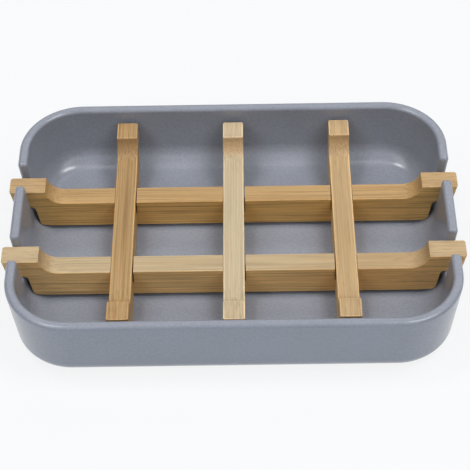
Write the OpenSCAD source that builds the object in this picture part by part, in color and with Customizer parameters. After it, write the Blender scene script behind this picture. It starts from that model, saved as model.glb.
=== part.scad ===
// Soap dish: a moulded tray and a rack of wooden bars that lies in notches of its end walls.
// Millimetres. Origin at the middle of the tray's underside, +X along the tray, +Z up.

/* [Tray] */
// Outer length at the rim
tray_l = 132.3; // [112:0.1:170]
// Outer width at the rim
tray_w = 91; // [84:0.5:125]
// Height of the rim above the table
tray_h = 23.7; // [21.5:0.1:34]
// Wall thickness at the rim
wall_t = 3; // [1.8:0.1:4]
// Thickness of the floor
floor_t = 3.7; // [1.6:0.1:5]
// Radius of the corners in plan, on the outside of the rim
corner_r = 19; // [14:0.5:28]
// Lean of the outer face, in degrees
outer_draft = 5.5; // [1:0.25:8]
// Lean of the inner face, in degrees
inner_draft = 5.5; // [1:0.25:7]
// Radius of the outer edge under the tray
base_r = 5.75; // [2:0.25:7]
// Radius of the cove between floor and walls
cove_r = 5; // [2:0.25:5.5]

/* [Notches] */
// Gap between a rail and the far side of its notch
notch_gap = 2; // [0.5:0.1:5]
// Play between the rails and the wall between two notches, each side
tongue_play = 0.3; // [0.2:0.05:1]
// Radius of a notch's shoulders at the rim
shoulder_r = 1.2; // [0.4:0.1:2]

/* [Bars] */
// Thickness of every bar
bar_t = 6.35; // [5:0.05:7]
// Depth of a bar's low middle
bar_d = 9.8; // [7:0.1:11]
// How far the low middle lies under the raised ends
dip = 5; // [2:0.1:7]
// Depth of the raised ends
lug_d = 6.7; // [4:0.1:8]
// Radius of the scoop that runs up to a raised end
scoop_r = 5.7; // [2:0.05:8]
// Lean of the raised ends' end faces, in degrees
end_lean = 10; // [0:1:15]
// Lean of the heels under the raised ends, in degrees
heel_lean = 8; // [0:1:15]
// Radius of the heels' lower corners
heel_r = 1.5; // [0.5:0.1:3]
// Radius of the hollow corners above the heels
throat_r = 1.2; // [0.3:0.1:2]
// Gap between the tray's floor and the bars
under_gap = 1.45; // [0.5:0.05:4]
// Play in a lap joint, both sides together
lap_play = 0.4; // [0.1:0.05:0.8]

/* [Rails] */
// How far a rail's ends stand out past the rim
rail_overhang = 2.35; // [0.5:0.05:6]
// Length of a rail's raised end, along its top
rail_lug_l = 11; // [9:0.1:16]
// Gap between a rail's heel and the tray's wall, at the notch
rail_heel_gap = 1; // [0.5:0.1:4]
// Distance between the rails, centre to centre
rail_pitch = 28.2; // [20:0.1:40]

/* [Slats] */
// Gap between a slat's end and the tray's wall, at the rim
slat_gap = 2.25; // [1:0.05:5]
// Length of a slat's raised end, along its top
slat_lug_l = 7; // [4:0.1:10]
// Distance from a slat's end to its heel
slat_heel = 3.3; // [2:0.1:6]
// Distance between slats, centre to centre
slat_pitch = 33.35; // [20:0.05:42]

/* [Hidden] */
$fn = 96;
overrun = 1;
tray_tone = [0.55, 0.57, 0.62];
rail_tone = [0.78, 0.64, 0.44];
left_slat_tone = [0.71, 0.57, 0.4];
middle_slat_tone = [0.81, 0.74, 0.6];
right_slat_tone = [0.78, 0.66, 0.49];

// The place along x, at height y, of a face through p that leans by the angle draft
function face_x(p, draft, y) = p.x - (p.y - y) * tan(draft);

// Centres of the corner arcs in plan
arc_x = tray_l / 2 - corner_r;
arc_y = tray_w / 2 - corner_r;

// Section of the wall, with x from a corner arc's centre outwards and y up from the table
rim_r = wall_t / 2;
rim_c = [corner_r - rim_r, tray_h - rim_r];
outer_top = rim_c + rim_r * [cos(outer_draft), -sin(outer_draft)];
base_side_y = base_r * (1 - sin(outer_draft));
base_side = [face_x(outer_top, outer_draft, base_side_y), base_side_y];
base_c = [base_side.x - base_r * cos(outer_draft), base_r];
inner_top = rim_c + rim_r * [-cos(inner_draft), sin(inner_draft)];
cove_side_y = floor_t + cove_r * (1 - sin(inner_draft));
cove_side = [face_x(inner_top, inner_draft, cove_side_y), cove_side_y];
cove_c = [cove_side.x - cove_r * cos(inner_draft), floor_t + cove_r];

// Heights of the rack
bar_foot = floor_t + under_gap;
bar_top = bar_foot + bar_d;
rack_top = bar_top + dip;
lap_z = bar_foot + bar_d / 2;

// Notches: one on each side of the tongue of wall that stays between the rails
notch_z = rack_top - lug_d;
tongue_w = rail_pitch - bar_t - 2 * tongue_play;
notch_w = tongue_play + bar_t + notch_gap;

// Bars
rail_l = tray_l + 2 * rail_overhang;
slat_l = tray_w - 2 * wall_t - 2 * slat_gap;
wall_x = arc_x + face_x(inner_top, inner_draft, notch_z);
rail_heel = rail_l / 2 - wall_x + rail_heel_gap;
slat_places = [-slat_pitch, 0, slat_pitch];
rail_places = [-rail_pitch / 2, rail_pitch / 2];
// Share of a lap's play that lies on the +X side of each slat
lap_side_share = [0.85, 0.8, 0.2];

module wall_section() {
    difference() {
        union() {
            polygon([[0, 0], [base_c.x, 0], base_c, base_side, outer_top, rim_c, [0, rim_c.y]]);
            translate(base_c) circle(base_r);
        }
        polygon([
            [0, floor_t],
            [cove_c.x, floor_t],
            cove_side,
            inner_top,
            [inner_top.x, tray_h + overrun],
            [0, tray_h + overrun]
        ]);
        translate(cove_c) circle(cove_r);
    }
    translate(rim_c) circle(rim_r);
}

// A straight run of wall and floor: its middle lies at a distance across, and turn faces it outwards
module wall_run(turn, across, run) {
    rotate(turn)
        translate([across, run / 2, 0])
            rotate([90, 0, 0])
                linear_extrude(run) wall_section();
}

module wall_corner(x_side, y_side, turn) {
    translate([x_side * arc_x, y_side * arc_y, 0])
        rotate(turn)
            rotate_extrude(angle = 90) wall_section();
}

module shell() {
    translate([-arc_x, -arc_y, 0]) cube([2 * arc_x, 2 * arc_y, floor_t]);
    for (side = [0, 1]) {
        wall_run(180 * side, arc_x, 2 * arc_y);
        wall_run(180 * side + 90, arc_y, 2 * arc_x);
    }
    wall_corner(1, 1, 0);
    wall_corner(-1, 1, 90);
    wall_corner(-1, -1, 180);
    wall_corner(1, -1, 270);
}

// Outline of a notch: x sideways from its middle, y up
module notch_outline() {
    translate([-notch_w / 2, notch_z]) square([notch_w, tray_h + overrun - notch_z]);
    for (side = [0, 1]) {
        mirror([side, 0])
            translate([notch_w / 2, tray_h - shoulder_r])
                difference() {
                    square([shoulder_r, shoulder_r + overrun]);
                    translate([shoulder_r, 0]) circle(shoulder_r);
                }
    }
}

// Both notches on one side, cut through the two end walls
module notch_pair(side) {
    translate([0, side * (tongue_w + notch_w) / 2, 0])
        rotate([90, 0, 90])
            linear_extrude(tray_l + 2 * overrun, center = true) notch_outline();
}

module tray() {
    color(tray_tone)
        difference() {
            shell();
            notch_pair(1);
            notch_pair(-1);
        }
}

// Outline of a bar: x along it from its middle, y up from the tops of its raised ends
module bar_outline(length, lug_l, heel) {
    foot_y = -dip - bar_d;
    heel_top = [length / 2 - heel, -lug_d];
    heel_foot = [face_x(heel_top, heel_lean, foot_y), foot_y];
    heel_side_y = foot_y + heel_r * (1 - sin(heel_lean));
    heel_side = [face_x(heel_top, heel_lean, heel_side_y), heel_side_y];
    heel_c = [heel_side.x - heel_r * cos(heel_lean), foot_y + heel_r];
    throat_side_y = -lug_d - throat_r * (1 - sin(heel_lean));
    throat_side = [face_x(heel_top, heel_lean, throat_side_y), throat_side_y];
    throat_c = [throat_side.x + throat_r * cos(heel_lean), -lug_d - throat_r];
    scoop_rise = min(scoop_r, dip);
    scoop_reach = sqrt(scoop_rise * (2 * scoop_r - scoop_rise));
    scoop_x = length / 2 - lug_l - scoop_reach;
    right_side = [
        [length / 2, 0],
        [length / 2 - lug_d * tan(end_lean), -lug_d],
        [throat_c.x, -lug_d],
        throat_side,
        heel_foot
    ];
    left_side = [for (i = [len(right_side) - 1 : -1 : 0]) [-right_side[i].x, right_side[i].y]];
    difference() {
        polygon(concat(right_side, left_side));
        for (side = [0, 1]) {
            mirror([side, 0]) {
                translate(throat_c) circle(throat_r);
                translate([scoop_x, scoop_r - dip]) circle(scoop_r);
                difference() {
                    polygon([heel_side, heel_foot + overrun * [1, -1], [heel_c.x, foot_y]]);
                    translate(heel_c) circle(heel_r);
                }
            }
        }
        translate([-scoop_x, -dip]) square([2 * scoop_x, dip + overrun]);
        translate([-scoop_x - scoop_reach, scoop_rise - dip])
            square([2 * (scoop_x + scoop_reach), dip - scoop_rise + overrun]);
    }
}

// A bar along X at its height in the rack
module bar(length, lug_l, heel) {
    translate([0, bar_t / 2, rack_top])
        rotate([90, 0, 0])
            linear_extrude(bar_t) bar_outline(length, lug_l, heel);
}

// A rail, with laps cut from above where the slats cross it
module rail(place) {
    difference() {
        translate([0, place, 0]) bar(rail_l, rail_lug_l, rail_heel);
        for (i = [0 : len(slat_places) - 1]) {
            left_play = lap_play * (1 - lap_side_share[i]);
            translate([slat_places[i] - bar_t / 2 - left_play, place - bar_t / 2 - overrun, lap_z])
                cube([bar_t + lap_play, bar_t + 2 * overrun, bar_top + overrun - lap_z]);
        }
    }
}

// A slat, with laps cut from below where it crosses the rails
module slat(place) {
    difference() {
        translate([place, 0, 0]) rotate(90) bar(slat_l, slat_lug_l, slat_heel);
        for (y = rail_places) {
            translate([place - bar_t / 2 - overrun, y - (bar_t + lap_play) / 2, bar_foot - overrun])
                cube([bar_t + 2 * overrun, bar_t + lap_play, lap_z - bar_foot + overrun]);
        }
    }
}

module rear_rail() {
    color(rail_tone) rail(rail_places[1]);
}

module front_rail() {
    color(rail_tone) rail(rail_places[0]);
}

module left_slat() {
    color(left_slat_tone) slat(slat_places[0]);
}

module middle_slat() {
    color(middle_slat_tone) slat(slat_places[1]);
}

module right_slat() {
    color(right_slat_tone) slat(slat_places[2]);
}

tray();
rear_rail();
front_rail();
left_slat();
middle_slat();
right_slat();
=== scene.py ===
import math

import bmesh
import bpy
from mathutils import Euler, Matrix, Vector


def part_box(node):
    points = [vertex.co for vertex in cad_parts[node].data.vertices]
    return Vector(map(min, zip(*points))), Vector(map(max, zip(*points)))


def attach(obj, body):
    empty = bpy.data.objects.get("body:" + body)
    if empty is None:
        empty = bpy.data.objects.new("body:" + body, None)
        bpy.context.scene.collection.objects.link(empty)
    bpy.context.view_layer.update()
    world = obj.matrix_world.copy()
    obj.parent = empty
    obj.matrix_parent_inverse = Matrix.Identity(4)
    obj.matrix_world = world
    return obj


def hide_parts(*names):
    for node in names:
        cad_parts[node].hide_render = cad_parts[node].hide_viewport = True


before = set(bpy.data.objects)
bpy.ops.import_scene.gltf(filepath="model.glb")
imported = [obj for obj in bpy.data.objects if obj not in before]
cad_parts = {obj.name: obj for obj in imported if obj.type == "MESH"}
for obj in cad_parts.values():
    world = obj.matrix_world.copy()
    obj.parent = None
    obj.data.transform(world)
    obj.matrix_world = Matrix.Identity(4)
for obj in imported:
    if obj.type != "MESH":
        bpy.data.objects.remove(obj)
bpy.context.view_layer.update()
mm = 0.001
tiny = 0.001 * mm
print("frame loaded with", len(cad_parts), "nodes")


# Tools for meshes
class Pen:
    # Draws a wire in the plane y = 0 of a mesh. Each stroke starts where the last one ended.
    def __init__(self, mesh, x, z):
        self.mesh = mesh
        self.tip = mesh.verts.new((x, 0, z))

    def line(self, x, z):
        drawn = bmesh.ops.extrude_vert_indiv(self.mesh, verts=[self.tip])
        self.tip = drawn["verts"][0]
        self.tip.co = (x, 0, z)

    def arc(self, x, z, turn, steps):
        # round the centre x, z; above zero it turns anticlockwise, with x to the right and z up
        drawn = bmesh.ops.spin(
            self.mesh, geom=[self.tip], cent=(x, 0, z), axis=(0, -1, 0), angle=turn, steps=steps,
            use_duplicate=False,
        )
        self.tip = vertsOf(drawn["geom_last"])[0]


def vertsOf(geometry):
    return [item for item in geometry if isinstance(item, bmesh.types.BMVert)]


def edgesOf(geometry):
    return [item for item in geometry if isinstance(item, bmesh.types.BMEdge)]


def leaningX(x, z, lean, height):
    # where a face through x, z that leans outwards by the angle lean stands at a height
    return x - (z - height) * math.tan(lean)


def drag(mesh, edges, way):
    # extrudes edges along a vector and returns the far ones
    grown = bmesh.ops.extrude_edge_only(mesh, edges=edges)["geom"]
    moved = set(vertsOf(grown))
    bmesh.ops.translate(mesh, verts=list(moved), vec=way)
    return [edge for edge in edgesOf(grown) if all(vert in moved for vert in edge.verts)]


def roundEdges(mesh, edges, radius, steps):
    return bmesh.ops.bevel(
        mesh, geom=edges, offset=radius, offset_type="OFFSET", segments=steps, profile=0.5,
        affect="EDGES", material=-1,
    )


def addObject(name, data):
    added = bpy.data.objects.new(name, data)
    bpy.context.scene.collection.objects.link(added)
    return added


def meshObject(name, mesh):
    data = bpy.data.meshes.new(name)
    mesh.to_mesh(data)
    mesh.free()
    return addObject(name, data)


def finishPiece(mesh, name, creaseAngle, normalWeight=80):
    # smooth shading with sharp creases, and flat faces kept flat by weighted normals
    for face in mesh.faces:
        face.smooth = True
    for edge in mesh.edges:
        edge.smooth = len(edge.link_faces) == 2 and edge.calc_face_angle() < creaseAngle
    piece = meshObject(name, mesh)
    weighted = piece.modifiers.new("weighted normals", "WEIGHTED_NORMAL")
    weighted.keep_sharp = True
    weighted.weight = normalWeight
    return piece


# Tools for materials
class Wire:
    # An output socket. Arithmetic on wires adds Math nodes.
    def __init__(self, paint, socket):
        self.paint = paint
        self.socket = socket

    def maths(self, operation, first, second):
        return self.paint.add("Math", {"operation": operation}, {0: first, 1: second})

    def __add__(self, other):
        return self.maths("ADD", self, other)

    def __sub__(self, other):
        return self.maths("SUBTRACT", self, other)

    def __rsub__(self, other):
        return self.maths("SUBTRACT", other, self)

    def __mul__(self, other):
        return self.maths("MULTIPLY", self, other)

    __radd__ = __add__
    __rmul__ = __mul__

    def absolute(self):
        return self.paint.add("Math", {"operation": "ABSOLUTE"}, {0: self})

    def ramp(self, low, high, start=0.0, end=1.0):
        # from start to end as the wire goes from low to high, eased at both ends
        settings = {"interpolation_type": "SMOOTHSTEP"}
        inputs = {"Value": self, "From Min": low, "From Max": high, "To Min": start, "To Max": end}
        return self.paint.add("MapRange", settings, inputs)


class Paint:
    # A material and the nodes in it
    def __init__(self, name):
        self.material = bpy.data.materials.new(name)
        self.material.use_nodes = True
        self.nodes = self.material.node_tree.nodes
        self.links = self.material.node_tree.links
        self.nodes.clear()

    def add(self, kind, settings=None, inputs=None, output=0):
        node = self.nodes.new("ShaderNode" + kind)
        for name, value in (settings or {}).items():
            setattr(node, name, value)
        for name, value in (inputs or {}).items():
            if isinstance(value, Wire):
                self.links.new(value.socket, node.inputs[name])
            else:
                node.inputs[name].default_value = value
        return Wire(self, node.outputs[output])

    def parts(self, vector):
        # the three numbers of a vector
        node = self.add("SeparateXYZ", inputs={0: vector}).socket.node
        return [Wire(self, socket) for socket in node.outputs]

    def vector(self, x, y, z):
        return self.add("CombineXYZ", inputs={0: x, 1: y, 2: z})

    def noise(self, vector, scale, detail=2.0, roughness=0.5):
        inputs = {"Vector": vector, "Scale": scale, "Detail": detail, "Roughness": roughness}
        return self.add("TexNoise", inputs=inputs)

    def mix(self, share, first, second, blend="MIX"):
        # sockets 6 and 7 and output 2 of a Mix node are its colours
        settings = {"data_type": "RGBA", "blend_type": blend}
        return self.add("Mix", settings, {0: share, 6: first, 7: second}, output=2)

    def shaded(self, colour, shade):
        # a colour times a number
        return self.mix(1.0, colour, self.vector(shade, shade, shade), "MULTIPLY")

    def show(self, surface):
        output = self.nodes.new("ShaderNodeOutputMaterial")
        self.links.new(surface.socket, output.inputs["Surface"])


def tone(red, green, blue):
    # a colour as a picture shows it, 0 to 255, turned into light by the sRGB curve
    linear = []
    for value in (red, green, blue):
        share = value / 255
        linear.append(share / 12.92 if share <= 0.04045 else ((share + 0.055) / 1.055) ** 2.4)
    return (*linear, 1.0)


# The tray: a quarter is drawn, swept and notched, then mirrored twice
trayShape = {
    "wall": 3 * mm,
    "floor": 3.7 * mm,
    "cornerRadius": 19 * mm,
    "lean": math.radians(5.5),
    "baseRadius": 5.75 * mm,
    "coveRadius": 6.4 * mm,
    "innerEdge": 1.1 * mm,  # radius of the rim's edge on the inside
    "outerEdge": 1.1 * mm,  # radius of the rim's edge on the outside
    "tongue": 21.25 * mm,  # the wall that stays between the two notches of an end
    "notch": 8.65 * mm,
    "sill": 13.25 * mm,  # height of the notches' floors, where the rail ends rest
    "easing": 1.0 * mm,  # of the notches' arrises
    "easingSteps": 5,
    "arcSteps": 14,
    "cornerSteps": 32,
    "crease": math.radians(40),
}


def drawWall(mesh, shape, arcX, height):
    # from the underside round the rim to the floor, for a corner arc centred at arcX
    lean, outer, inner = shape["lean"], shape["outerEdge"], shape["innerEdge"]
    outerRimX = arcX + shape["cornerRadius"] - outer
    innerRimX = arcX + shape["cornerRadius"] - shape["wall"] + inner
    outerX = outerRimX + outer * math.cos(lean)
    outerZ = height - outer - outer * math.sin(lean)
    innerX = innerRimX - inner * math.cos(lean)
    innerZ = height - inner + inner * math.sin(lean)
    base, cove = shape["baseRadius"], shape["coveRadius"]
    baseX = leaningX(outerX, outerZ, lean, base * (1 - math.sin(lean))) - base * math.cos(lean)
    coveTop = shape["floor"] + cove * (1 - math.sin(lean))
    coveX = leaningX(innerX, innerZ, lean, coveTop)
    quarterLess = math.pi / 2 - lean
    pen = Pen(mesh, arcX, 0)
    pen.line(baseX, 0)
    pen.arc(baseX, base, quarterLess, shape["arcSteps"])
    pen.line(outerX, outerZ)
    pen.arc(outerRimX, height - outer, math.pi / 2 + lean, shape["arcSteps"] // 2)
    pen.line(innerRimX, height)
    pen.arc(innerRimX, height - inner, quarterLess, shape["arcSteps"] // 2)
    pen.line(coveX, coveTop)
    pen.arc(coveX - cove * math.cos(lean), shape["floor"] + cove, -quarterLess, shape["arcSteps"])
    pen.line(arcX, shape["floor"])


def cutNotch(mesh, shape):
    # takes the strip of wall over the sill away, then closes its two cheeks and the sill
    nearY = shape["tongue"] / 2
    farY = nearY + shape["notch"]
    sill = shape["sill"]

    def strip():
        return [face for face in mesh.faces if nearY < face.calc_center_median().y < farY]

    faces = strip()
    around = {edge for face in faces for edge in face.edges}
    corners = {vert for face in faces for vert in face.verts}
    cut = faces + list(around) + list(corners)
    bmesh.ops.bisect_plane(mesh, geom=cut, dist=tiny, plane_co=(0, 0, sill), plane_no=(0, 0, 1))
    above = [face for face in strip() if face.calc_center_median().z > sill]
    bmesh.ops.delete(mesh, geom=above, context="FACES")

    def openEdges(wanted):
        return [edge for edge in mesh.edges if edge.is_boundary and all(wanted(v.co) for v in edge.verts)]

    cheekFeet = []
    for y in (nearY, farY):
        rim = openEdges(lambda place: abs(place.y - y) < tiny and place.z > sill - tiny)
        feet = {vert for edge in rim for vert in edge.verts if vert.co.z < sill + tiny}
        foot = edgesOf(bmesh.ops.contextual_create(mesh, geom=list(feet))["edges"])
        cheekFeet += foot
        bmesh.ops.contextual_create(mesh, geom=rim + foot)
    concave = set(cheekFeet)
    atSill = openEdges(lambda place: abs(place.z - sill) < tiny and nearY - tiny < place.y < farY + tiny)
    sillEdges = cheekFeet + [edge for edge in atSill if edge not in concave]
    bmesh.ops.contextual_create(mesh, geom=sillEdges)
    arrises = {edge for foot in concave for face in foot.link_faces for edge in face.edges} - concave
    roundEdges(mesh, list(arrises), shape["easing"], shape["easingSteps"])


def buildTray(shape):
    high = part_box("tray")[1]
    arcX = high.x - shape["cornerRadius"]
    arcY = high.y - shape["cornerRadius"]
    mesh = bmesh.new()
    drawWall(mesh, shape, arcX, high.z)
    section = mesh.edges[:]
    reached = 0
    for y in (shape["tongue"] / 2, shape["tongue"] / 2 + shape["notch"], arcY):
        section = drag(mesh, section, (0, y - reached, 0))
        reached = y
    corners = list({vert for edge in section for vert in edge.verts})
    turned = bmesh.ops.spin(
        mesh, geom=section + corners, cent=(arcX, arcY, 0), axis=(0, 0, 1), angle=math.pi / 2,
        steps=shape["cornerSteps"], use_duplicate=False,
    )
    drag(mesh, edgesOf(turned["geom_last"]), (-arcX, 0, 0))
    bmesh.ops.remove_doubles(mesh, verts=mesh.verts, dist=tiny)
    bmesh.ops.recalc_face_normals(mesh, faces=mesh.faces)
    cutNotch(mesh, shape)
    for axis in "XY":
        whole = mesh.verts[:] + mesh.edges[:] + mesh.faces[:]
        bmesh.ops.mirror(mesh, geom=whole, matrix=Matrix.Identity(4), merge_dist=-1, axis=axis)
        bmesh.ops.remove_doubles(mesh, verts=mesh.verts, dist=tiny)
    bmesh.ops.holes_fill(mesh, edges=[edge for edge in mesh.edges if edge.is_boundary], sides=0)
    bmesh.ops.recalc_face_normals(mesh, faces=mesh.faces)
    return finishPiece(mesh, "trayShell", shape["crease"])


# The bars: an outline from the side is drawn, given its thickness and eased
barShape = {
    "thickness": 6.35 * mm,
    "dip": 5 * mm,  # how far the middle lies below the raised ends
    "lugDepth": 6.7 * mm,
    "scoop": 5.7 * mm,  # radius of the rise to a raised end
    "endLean": math.radians(10),
    "heelLean": math.radians(8),
    "heelRadius": 1.5 * mm,
    "throatRadius": 1.2 * mm,
    "play": 0.4 * mm,  # in a lap joint, both sides together
    "arcSteps": 10,
    "endEasingSteps": 5,
    "easingSteps": 3,
    "crease": math.radians(30),
}
railShape = {
    "lug": 11 * mm,  # length of a raised end
    "heel": 7.22 * mm,  # from a bar's end to the step under it
    "pitch": 28.2 * mm,
    "easing": 0.3 * mm,  # of the arrises
    "endEasing": 0.85 * mm,  # of the upright corners at the ends
}
slatShape = {
    "lug": 7 * mm,
    "heel": 3.3 * mm,
    "pitch": 33.35 * mm,
    "easing": 0.38 * mm,
    "endEasing": 0.5 * mm,
}
# share of a lap's play to the right of each slat
lapShares = {"left_slat": 0.85, "middle_slat": 0.8, "right_slat": 0.2}
# how far each slat lies to the rear of the middle
slatShifts = {"left_slat": 0.7 * mm, "middle_slat": 0.4 * mm, "right_slat": 0.8 * mm}


def drawSlot(pen, start, end, mouth, seat):
    pen.line(start, mouth)
    pen.line(start, seat)
    pen.line(end, seat)
    pen.line(end, mouth)


def drawBar(mesh, shape, kind, length, top, foot, topSlots, footSlots):
    # anticlockwise from the right end of the top; the slots are pairs of places along the bar
    half = length / 2
    low = top - shape["dip"]
    seat = (low + foot) / 2
    under = top - shape["lugDepth"]
    steps = shape["arcSteps"]
    scoop, heelRadius, throat = shape["scoop"], shape["heelRadius"], shape["throatRadius"]
    scoopZ = low + scoop
    scoopReach = math.sqrt(shape["dip"] * (2 * scoop - shape["dip"]))
    scoopX = half - kind["lug"] - scoopReach
    scoopTurn = math.acos((scoopZ - top) / scoop)
    lean = shape["heelLean"]
    heelFace = half - kind["heel"]
    quarterLess = math.pi / 2 - lean
    heelZ = foot + heelRadius
    heelSideX = leaningX(heelFace, under, lean, foot + heelRadius * (1 - math.sin(lean)))
    heelX = heelSideX - heelRadius * math.cos(lean)
    throatZ = under - throat
    throatSideX = leaningX(heelFace, under, lean, under - throat * (1 - math.sin(lean)))
    throatX = throatSideX + throat * math.cos(lean)
    endFoot = half - shape["lugDepth"] * math.tan(shape["endLean"])
    pen = Pen(mesh, half, top)
    first = pen.tip
    pen.line(half - kind["lug"], top)
    pen.arc(scoopX, scoopZ, -scoopTurn, steps)
    for start, end in reversed(topSlots):
        drawSlot(pen, end, start, low, seat)
    pen.line(-scoopX, low)
    pen.arc(-scoopX, scoopZ, -scoopTurn, steps)
    pen.line(-half, top)
    pen.line(-endFoot, under)
    pen.line(-throatX, under)
    pen.arc(-throatX, throatZ, -quarterLess, steps)
    pen.line(-heelX - heelRadius * math.cos(lean), heelZ - heelRadius * math.sin(lean))
    pen.arc(-heelX, heelZ, quarterLess, steps)
    for start, end in footSlots:
        drawSlot(pen, start, end, foot, seat)
    pen.line(heelX, foot)
    pen.arc(heelX, heelZ, quarterLess, steps)
    pen.line(throatX - throat * math.cos(lean), throatZ + throat * math.sin(lean))
    pen.arc(throatX, throatZ, -quarterLess, steps)
    pen.line(endFoot, under)
    bmesh.ops.contextual_create(mesh, geom=[pen.tip, first])
    return seat


def inSlots(face, slots, seat, side):
    # whether a face is a wall or the seat of a slot that opens upwards, side 1, or downwards, side -1
    middle = face.calc_center_median()
    onBroadSide = abs(face.normal.y) > 0.5
    if onBroadSide or (middle.z - seat) * side < -tiny:
        return False
    return any(start - tiny < middle.x < end + tiny for start, end in slots)


def buildBar(node, shape, kind, alongY, topSlots, footSlots, shift):
    # made along x, and turned to y last
    low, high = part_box(node)
    length = high.y - low.y if alongY else high.x - low.x
    mesh = bmesh.new()
    edging = mesh.faces.layers.float.new("easedEdge")
    seat = drawBar(mesh, shape, kind, length, high.z, low.z, topSlots, footSlots)
    bmesh.ops.contextual_create(mesh, geom=mesh.edges[:])
    grown = bmesh.ops.extrude_face_region(mesh, geom=mesh.faces[:])["geom"]
    bmesh.ops.translate(mesh, verts=vertsOf(grown), vec=(0, shape["thickness"], 0))
    bmesh.ops.translate(mesh, verts=mesh.verts, vec=(0, -shape["thickness"] / 2, 0))
    bmesh.ops.recalc_face_normals(mesh, faces=mesh.faces)

    def isArris(edge):
        return edge.is_convex and edge.calc_face_angle() > shape["crease"]

    def isUprightAtEnd(edge):
        endZone = length / 2 - 2 * shape["lugDepth"] * math.tan(shape["endLean"])
        first, second = edge.verts
        return min(abs(first.co.x), abs(second.co.x)) > endZone and first.co.z != second.co.z

    corners = [edge for edge in mesh.edges if isArris(edge) and isUprightAtEnd(edge)]
    roundEdges(mesh, corners, kind["endEasing"], shape["endEasingSteps"])

    def isSlotted(face):
        return inSlots(face, topSlots, seat, 1) or inSlots(face, footSlots, seat, -1)

    arrises = []
    for edge in mesh.edges:
        atFoot = all(vert.co.z < low.z + tiny for vert in edge.verts)
        if isArris(edge) and not atFoot and not any(isSlotted(face) for face in edge.link_faces):
            arrises.append(edge)
    for face in roundEdges(mesh, arrises, kind["easing"], shape["easingSteps"])["faces"]:
        face[edging] = 1.0
    middle = (low + high) / 2
    turn = Matrix.Rotation(math.pi / 2 if alongY else 0, 4, "Z")
    place = Matrix.Translation((middle.x, middle.y + shift, 0))
    bmesh.ops.transform(mesh, matrix=place @ turn, verts=mesh.verts)
    return finishPiece(mesh, node + "Bar", shape["crease"])


def railSlots():
    # from above, for the three slats
    half = barShape["thickness"] / 2
    play = barShape["play"]
    places = {"left_slat": -slatShape["pitch"], "middle_slat": 0, "right_slat": slatShape["pitch"]}
    return [
        (place - (half + play * (1 - lapShares[slat])), place + (half + play * lapShares[slat]))
        for slat, place in places.items()
    ]


def slatSlots(shift):
    # from below, for the two rails
    half = (barShape["thickness"] + barShape["play"]) / 2
    places = [-railShape["pitch"] / 2 - shift, railShape["pitch"] / 2 - shift]
    return [(place - half, place + half) for place in places]


# The plastic
plasticLook = {
    "colour": tone(146, 151, 163),
    "roughness": 0.38,
    "roughnessSpread": 0.03,
    "specular": 0.3,
    "sheen": 0.7,  # weight of the smoother skin over it
    "sheenRoughness": 0.18,
    "cloud": (60, 3, 0.5),  # scale per metre, detail and roughness of a noise
    "cloudBand": (0.3, 0.7),  # the noise's values between which the shade turns
    "cloudDepth": 0.03,
    "mottle": (1300, 2, 0.6),
    "mottleBand": (0.25, 0.75),
    "mottleDepth": 0.07,
    "grain": (2600, 2, 0.5),
    "grainHeight": 0.02 * mm,
    "grainStrength": 0.25,
}


def plasticPaint(look):
    paint = Paint("satinPlastic")
    place = paint.add("TexCoord", output="Object")
    cloud = paint.noise(place, *look["cloud"])
    grain = paint.noise(place, *look["grain"])
    mottle = paint.noise(place, *look["mottle"])
    shade = cloud.ramp(*look["cloudBand"], 1 - look["cloudDepth"], 1 + look["cloudDepth"])
    shade = shade + mottle.ramp(*look["mottleBand"], -look["mottleDepth"], look["mottleDepth"])
    smoothest = look["roughness"] - look["roughnessSpread"]
    roughest = look["roughness"] + look["roughnessSpread"]
    bump = {"Strength": look["grainStrength"], "Distance": look["grainHeight"], "Height": grain}
    inputs = {
        "Base Color": paint.shaded(look["colour"], shade),
        "Roughness": cloud.ramp(*look["cloudBand"], smoothest, roughest),
        "Normal": paint.add("Bump", inputs=bump),
        "Specular IOR Level": look["specular"],
        "Coat Weight": look["sheen"],
        "Coat Roughness": look["sheenRoughness"],
    }
    paint.show(paint.add("BsdfPrincipled", inputs=inputs))
    return paint.material


# The bamboo
bambooLook = {
    "fibreScale": 2500,  # across the bar, per metre
    "wander": 0.3 * mm,  # how far the fibres stray sideways
    "wanderScales": (45, 200),  # along and across the bar, per metre
    "seedStride": 7,  # how much further a seed moves the threads along a bar than across it
    "roughness": (0.44, 0.58),
    "specular": 0.35,
    "bumpHeight": 0.05 * mm,
    "bumpStrength": 0.5,
    "fibreDepth": 0.08,
    "dashDepth": 0.06,
    "scoopDashDepth": 0.12,  # more of them before a scoop
    "scoopZone": 9 * mm,
    "scoopLength": 6 * mm,
    "cloudDepth": 0.04,
    "figureDepth": 0.07,  # of the wavy lines near a slat's near end
    "figureZone": (2 * mm, 8 * mm),  # from the foot of the near scoop
    "footHighlight": 0.16,  # painted highlight along the lower edge of the sides
    "footHighlightZone": (0.3 * mm, 0.8 * mm),
    "cutShare": 0.85,  # how much of the tone of the cut ends shows
    "cutBand": (0.12, 0.75),  # lean towards the ends at which that tone starts and is full
    "sideBand": (0.5, 0.9),  # lean to the sides, the same way
    "endColour": tone(216, 188, 149),
    "endZone": (0.78, 0.9),  # of the half length
    "endFade": 0.7,
    "fadeZone": (0.1, 0.65),
    "endEdgeHighlight": 0.25,  # what is left of the painted arris highlight on the end faces
    "endEdgeHighlightBand": (0.1, 0.4),
}
# size across as a share of the fibre scale, its share along the bar, detail and roughness
threads = {
    "fibres": (1.0, 0.012, 3, 0.65),
    "lines": (0.75, 0.012, 1, 0.5),
    "dashes": (1.1, 0.08, 1, 0.5),
    "streaks": (0.7, 0.012, 2, 0.5),
    "blushes": (0.5, 0.018, 2, 0.5),
    "clouds": (0.07, 0.1, 2, 0.5),
    "waves": (0.5, 0.22, 2, 0.6),
}
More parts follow.
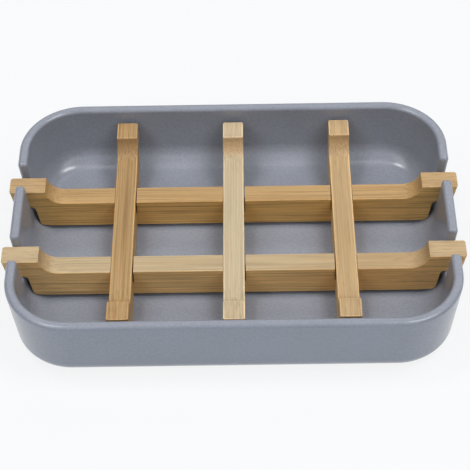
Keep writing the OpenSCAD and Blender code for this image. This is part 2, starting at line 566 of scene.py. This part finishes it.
# the noises' values at which each thread starts to show and is full
threadBands = {
    "fibres": (0.32, 0.68),
    "fibreRoughness": (0.3, 0.7),
    "lines": (0.5, 0.66),
    "dashes": (0.52, 0.7),
    "streaks": (0.4, 0.66),
    "blushes": (0.4, 0.66),
    "clouds": (0.3, 0.7),
    "waves": (0.5, 0.62),
}
slatSideToneAndLight = (1.22, 1.22, 1.1, 1.0)  # tint of a slat's side faces: the wood's own warmer tone there and painted light that lifts them
# pale, deep, blush and cut, which is on the cut ends, are the wood's tones, and side tints its side
# faces: partly the wood's own warmer tone there, partly painted light that lifts the sides. seed moves
# the patterns. streaks, lines, ends (paler near both ends), fade (to the tone cut towards the right) and
# edge (a painted highlight along the eased arrises) say how much of each a bar shows.
bambooTones = {
    "rear_rail": {
        "pale": tone(192, 158, 109),
        "deep": tone(158, 118, 71),
        "blush": tone(197, 150, 99),
        "cut": tone(186, 148, 97),
        "side": (1.27, 1.2, 0.86, 1.0),
        "seed": 1.7, "streaks": 0.3, "lines": 0.14, "ends": 0.3, "fade": 0.0, "edge": 0.16,
    },
    "front_rail": {
        "pale": tone(196, 175, 139),
        "deep": tone(166, 134, 93),
        "blush": tone(200, 166, 127),
        "cut": tone(183, 153, 111),
        "side": (1.37, 1.14, 0.77, 1.0),
        "seed": 3.1, "streaks": 0.25, "lines": 0.12, "ends": 0.3, "fade": 0.8, "edge": 0.16,
    },
    "left_slat": {
        "pale": tone(184, 152, 105),
        "deep": tone(149, 112, 67),
        "blush": tone(188, 143, 95),
        "cut": tone(164, 130, 86),
        "side": slatSideToneAndLight,
        "seed": 5.9, "streaks": 0.5, "lines": 0.18, "ends": 0.0, "fade": 0.0, "edge": 0.5,
    },
    "middle_slat": {
        "pale": tone(200, 182, 150),
        "deep": tone(176, 152, 114),
        "blush": tone(199, 180, 147),
        "cut": tone(195, 161, 117),
        "side": slatSideToneAndLight,
        "seed": 8.3, "streaks": 0.15, "lines": 0.08, "ends": 0.3, "fade": 0.0, "edge": 0.5,
    },
    "right_slat": {
        "pale": tone(198, 168, 124),
        "deep": tone(164, 132, 93),
        "blush": tone(198, 160, 115),
        "cut": tone(183, 149, 105),
        "side": slatSideToneAndLight,
        "seed": 12.4, "streaks": 0.3, "lines": 0.14, "ends": 0.1, "fade": 0.0, "edge": 0.5,
    },
}


def bambooPaint(name, look, tones, kind, alongY):
    paint = Paint(name + "Bamboo")
    turn = Euler((0, 0, -math.pi / 2 if alongY else 0))
    coords = paint.add("TexCoord", output="Object")
    along, side, height = paint.parts(paint.add("Mapping", inputs={"Vector": coords, "Rotation": turn}))
    normal = paint.parts(paint.add("TexCoord", output="Normal"))
    alongNormal, sideNormal = (normal[1], normal[0]) if alongY else (normal[0], normal[1])
    low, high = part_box(name)
    half = (high.y - low.y if alongY else high.x - low.x) / 2
    scoopFoot = half - kind["lug"] - look["scoopLength"]
    seed = tones["seed"]
    wanderAlong, wanderAcross = look["wanderScales"]
    wander = paint.vector(along * wanderAlong + seed, side * wanderAcross, height * wanderAcross)
    side = side + (paint.noise(wander, scale=1.0, detail=1) - 0.5) * look["wander"]

    def thread(kindOfThread):
        # a noise whose cells are drawn out along the bar
        share, stretch, detail, roughness = threads[kindOfThread]
        across = look["fibreScale"] * share
        shifted = seed * look["seedStride"]
        cell = paint.vector(along * (across * stretch) + shifted, side * across + seed, height * across)
        return paint.noise(cell, scale=1.0, detail=detail, roughness=roughness)

    def pattern(kindOfThread, start, end):
        return thread(kindOfThread).ramp(*threadBands[kindOfThread], start, end)

    def reaches(zone):
        # shares of the half length, turned into lengths
        return zone[0] * half, zone[1] * half

    # where on the bar each pattern lies
    away = along.absolute()
    endwise = alongNormal.absolute()
    onCut = endwise.ramp(*look["cutBand"], 0.0, look["cutShare"])
    onSide = sideNormal.absolute().ramp(*look["sideBand"])
    nearScoop = away.ramp(scoopFoot - look["scoopZone"], scoopFoot)
    figureStart, figureEnd = (reach - scoopFoot for reach in look["figureZone"])
    figured = along.ramp(figureStart, figureEnd, look["figureDepth"] if alongY else 0.0, 0.0)
    # a painted highlight along the foot of the side faces
    footStart, footEnd = (low.z + reach for reach in look["footHighlightZone"])
    foot = height.ramp(footStart, footEnd, look["footHighlight"], 0.0)
    # painted highlight along the eased arrises, weaker on faces that look towards the ends
    edge = paint.add("Attribute", {"attribute_name": "easedEdge"}, output="Fac")
    edge = edge * endwise.ramp(*look["endEdgeHighlightBand"], 1.0, look["endEdgeHighlight"])
    fade = along.ramp(*reaches(look["fadeZone"]), 0.0, tones["fade"])
    fade = fade * along.ramp(*reaches(look["endZone"]), 1.0, look["endFade"])
    atEnds = away.ramp(*reaches(look["endZone"]), 0.0, tones["ends"])

    # the colour, from the wood's tones, with painted light lifting the side faces
    colour = paint.mix(pattern("blushes", 0.0, tones["streaks"]), tones["pale"], tones["blush"])
    colour = paint.mix(pattern("streaks", 0.0, tones["streaks"]), colour, tones["deep"])
    colour = paint.mix(fade, colour, tones["cut"])
    colour = paint.mix(atEnds, colour, look["endColour"])
    colour = paint.mix(onCut, colour, tones["cut"])
    # side faces: the wood's own warmer tone there, and painted light that lifts them
    colour = paint.mix(onSide, colour, paint.mix(1.0, colour, tones["side"], "MULTIPLY"))

    # the shade, in which the threads show twice as much on the sides, with painted highlights along the
    # eased arrises and along the foot of the sides
    fibres = thread("fibres")
    threadShade = fibres.ramp(*threadBands["fibres"], -look["fibreDepth"], look["fibreDepth"])
    threadShade = (threadShade - pattern("lines", 0.0, tones["lines"])) * (onSide + 1.0)
    dashes = pattern("dashes", 0.0, 1.0) * (nearScoop * look["scoopDashDepth"] + look["dashDepth"])
    waves = pattern("waves", 0.0, 1.0) * figured
    clouds = pattern("clouds", 1 - look["cloudDepth"], 1 + look["cloudDepth"])
    shade = (threadShade + 1.0) * (1.0 - dashes) * (1.0 - waves) * clouds
    # painted highlights: along the eased arrises, and along the foot of the side faces
    shade = shade * (edge * tones["edge"] + foot * onSide + 1.0)
    bump = {"Strength": look["bumpStrength"], "Distance": look["bumpHeight"], "Height": fibres}
    inputs = {
        "Base Color": paint.shaded(colour, shade),
        "Roughness": fibres.ramp(*threadBands["fibreRoughness"], *look["roughness"]),
        "Normal": paint.add("Bump", inputs=bump),
        "Specular IOR Level": look["specular"],
    }
    paint.show(paint.add("BsdfPrincipled", inputs=inputs))
    return paint.material


# Making the pieces
tray = buildTray(trayShape)
tray.data.materials.append(plasticPaint(plasticLook))
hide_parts("tray")
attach(tray, "tray")
print("tray made:", len(tray.data.polygons), "faces")

for node, tones in bambooTones.items():
    isSlat = node.endswith("slat")
    kind = slatShape if isSlat else railShape
    shift = slatShifts.get(node, 0)
    topSlots, footSlots = ([], slatSlots(shift)) if isSlat else (railSlots(), [])
    bar = buildBar(node, barShape, kind, isSlat, topSlots, footSlots, shift)
    bar.data.materials.append(bambooPaint(node, bambooLook, tones, kind, isSlat))
    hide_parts(node)
    node + "_bamboo" if isSlat else "rail_bamboo"
    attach(bar, "rack")
print("bars made:", len(bambooTones))

# Camera
cameraPlace = {
    "target": Vector((0.436, -7.762, 20.07)) * mm,
    "distance": 478.9 * mm,
    "azimuth": math.radians(0.7636),
    "elevation": math.radians(47.905),
    "roll": math.radians(-1.398),
    "focalPixels": 1612.55,
    "picturePixels": 470,
    "sensorWidth": 36,  # in the camera's own millimetres
    "clipStart": 10 * mm,
}


def aim(holder, place, right, up, back):
    # puts a camera or a lamp at a place, with its back turned to the vector back
    holder.matrix_world = Matrix.Translation(place) @ Matrix((right, up, back)).transposed().to_4x4()


def addCamera(place):
    azimuth, elevation, roll = place["azimuth"], place["elevation"], place["roll"]
    level = math.cos(elevation)
    back = Vector((math.sin(azimuth) * level, -math.cos(azimuth) * level, math.sin(elevation)))
    right = Vector((0, 0, 1)).cross(back).normalized()
    up = back.cross(right)
    tiltedRight = right * math.cos(roll) + up * math.sin(roll)
    tiltedUp = up * math.cos(roll) - right * math.sin(roll)
    camera = addObject("camera", bpy.data.cameras.new("camera"))
    camera.data.sensor_width = place["sensorWidth"]
    camera.data.lens = place["focalPixels"] / place["picturePixels"] * place["sensorWidth"]
    camera.data.clip_start = place["clipStart"]
    aim(camera, place["target"] + back * place["distance"], tiltedRight, tiltedUp, back)
    bpy.context.scene.camera = camera


addCamera(cameraPlace)

# Floor, lights and world
stageLook = {
    "radius": 1.5,
    "segments": 96,
    "colour": tone(214, 221, 229),
    "whiteShare": 0.85,
    "white": (1.0, 1.0, 1.0, 1.0),
    "skyStrength": 0.0,  # the lamps alone light the object
    "lampDistance": 1.2,
    "coolLight": (0.86, 0.95, 1.08),
}
lampPlaces = {
    # degrees from straight above to the right and to the back, size in metres and power in watts
    "keyRightLamp": {"across": 19, "back": -1, "width": 0.42, "depth": 0.36, "power": 4.8},
    "keyLeftLamp": {"across": -17, "back": 5, "width": 0.26, "depth": 0.26, "power": 3.4},
    "sideRightLamp": {"across": 35, "back": -26, "width": 0.45, "depth": 1.2, "power": 3.1},
    "sideLeftLamp": {"across": -34, "back": -24, "width": 0.45, "depth": 1.2, "power": 3.4},
    "frontLamp": {"across": 0, "back": -45, "width": 1.2, "depth": 0.9, "power": 1.3},
    "midRightLamp": {"across": 35, "back": -58, "width": 0.6, "depth": 0.5, "power": 0.5, "cool": True},
    "midLeftLamp": {"across": -35, "back": -58, "width": 0.6, "depth": 0.5, "power": 0.5, "cool": True},
    "backLamp": {"across": 0, "back": 45, "width": 1.2, "depth": 0.6, "power": 1.7},
    "backRightLamp": {"across": 50, "back": 45, "width": 0.8, "depth": 0.6, "power": 1.6},
}


def whiteToCamera(paint, shader, look):
    # shows the camera, and mirror-like and clear surfaces, a share of plain white
    rays = paint.add("LightPath").socket.node.outputs
    seen = Wire(paint, rays["Is Camera Ray"]) + Wire(paint, rays["Is Glossy Ray"])
    seen = seen + Wire(paint, rays["Is Transmission Ray"])
    white = paint.add("Emission", inputs={"Color": look["white"], "Strength": 1.0})
    return paint.add("MixShader", inputs={0: seen.ramp(0, 1, 0, look["whiteShare"]), 1: shader, 2: white})


def buildStage(look):
    mesh = bmesh.new()
    bmesh.ops.create_circle(mesh, cap_ends=True, segments=look["segments"], radius=look["radius"])
    floor = meshObject("floor", mesh)
    paint = Paint("paleFloor")
    diffuse = paint.add("BsdfDiffuse", inputs={"Color": look["colour"]})
    paint.show(whiteToCamera(paint, diffuse, look))
    floor.data.materials.append(paint.material)


def buildWorld(look):
    # plain white to the camera, and no light on the object
    world = bpy.data.worlds.new("studio")
    bpy.context.scene.world = world
    world.use_nodes = True
    nodes, links = world.node_tree.nodes, world.node_tree.links
    nodes.clear()
    path = nodes.new("ShaderNodeLightPath")
    sky = nodes.new("ShaderNodeBackground")
    sky.inputs["Color"].default_value = look["white"]
    sky.inputs["Strength"].default_value = look["skyStrength"]
    white = nodes.new("ShaderNodeBackground")
    white.inputs["Color"].default_value = look["white"]
    mixed = nodes.new("ShaderNodeMixShader")
    output = nodes.new("ShaderNodeOutputWorld")
    links.new(path.outputs["Is Camera Ray"], mixed.inputs[0])
    links.new(sky.outputs[0], mixed.inputs[1])
    links.new(white.outputs[0], mixed.inputs[2])
    links.new(mixed.outputs[0], output.inputs[0])


def addLamp(name, lamp, look):
    light = bpy.data.lights.new(name, "AREA")
    light.shape = "ELLIPSE"
    light.size = lamp["width"]
    light.size_y = lamp["depth"]
    light.energy = lamp["power"]
    if lamp.get("cool"):
        light.color = look["coolLight"]
    slopes = (math.tan(math.radians(lamp["across"])), math.tan(math.radians(lamp["back"])))
    back = Vector((*slopes, 1)).normalized()
    up = back.cross((1, 0, 0)).normalized()
    aim(addObject(name, light), back * look["lampDistance"], up.cross(back), up, back)


buildStage(stageLook)
buildWorld(stageLook)
for name, lamp in lampPlaces.items():
    addLamp(name, lamp, stageLook)
bpy.context.scene.view_settings.view_transform = "Standard"
print("stage made:", len(lampPlaces), "lamps")
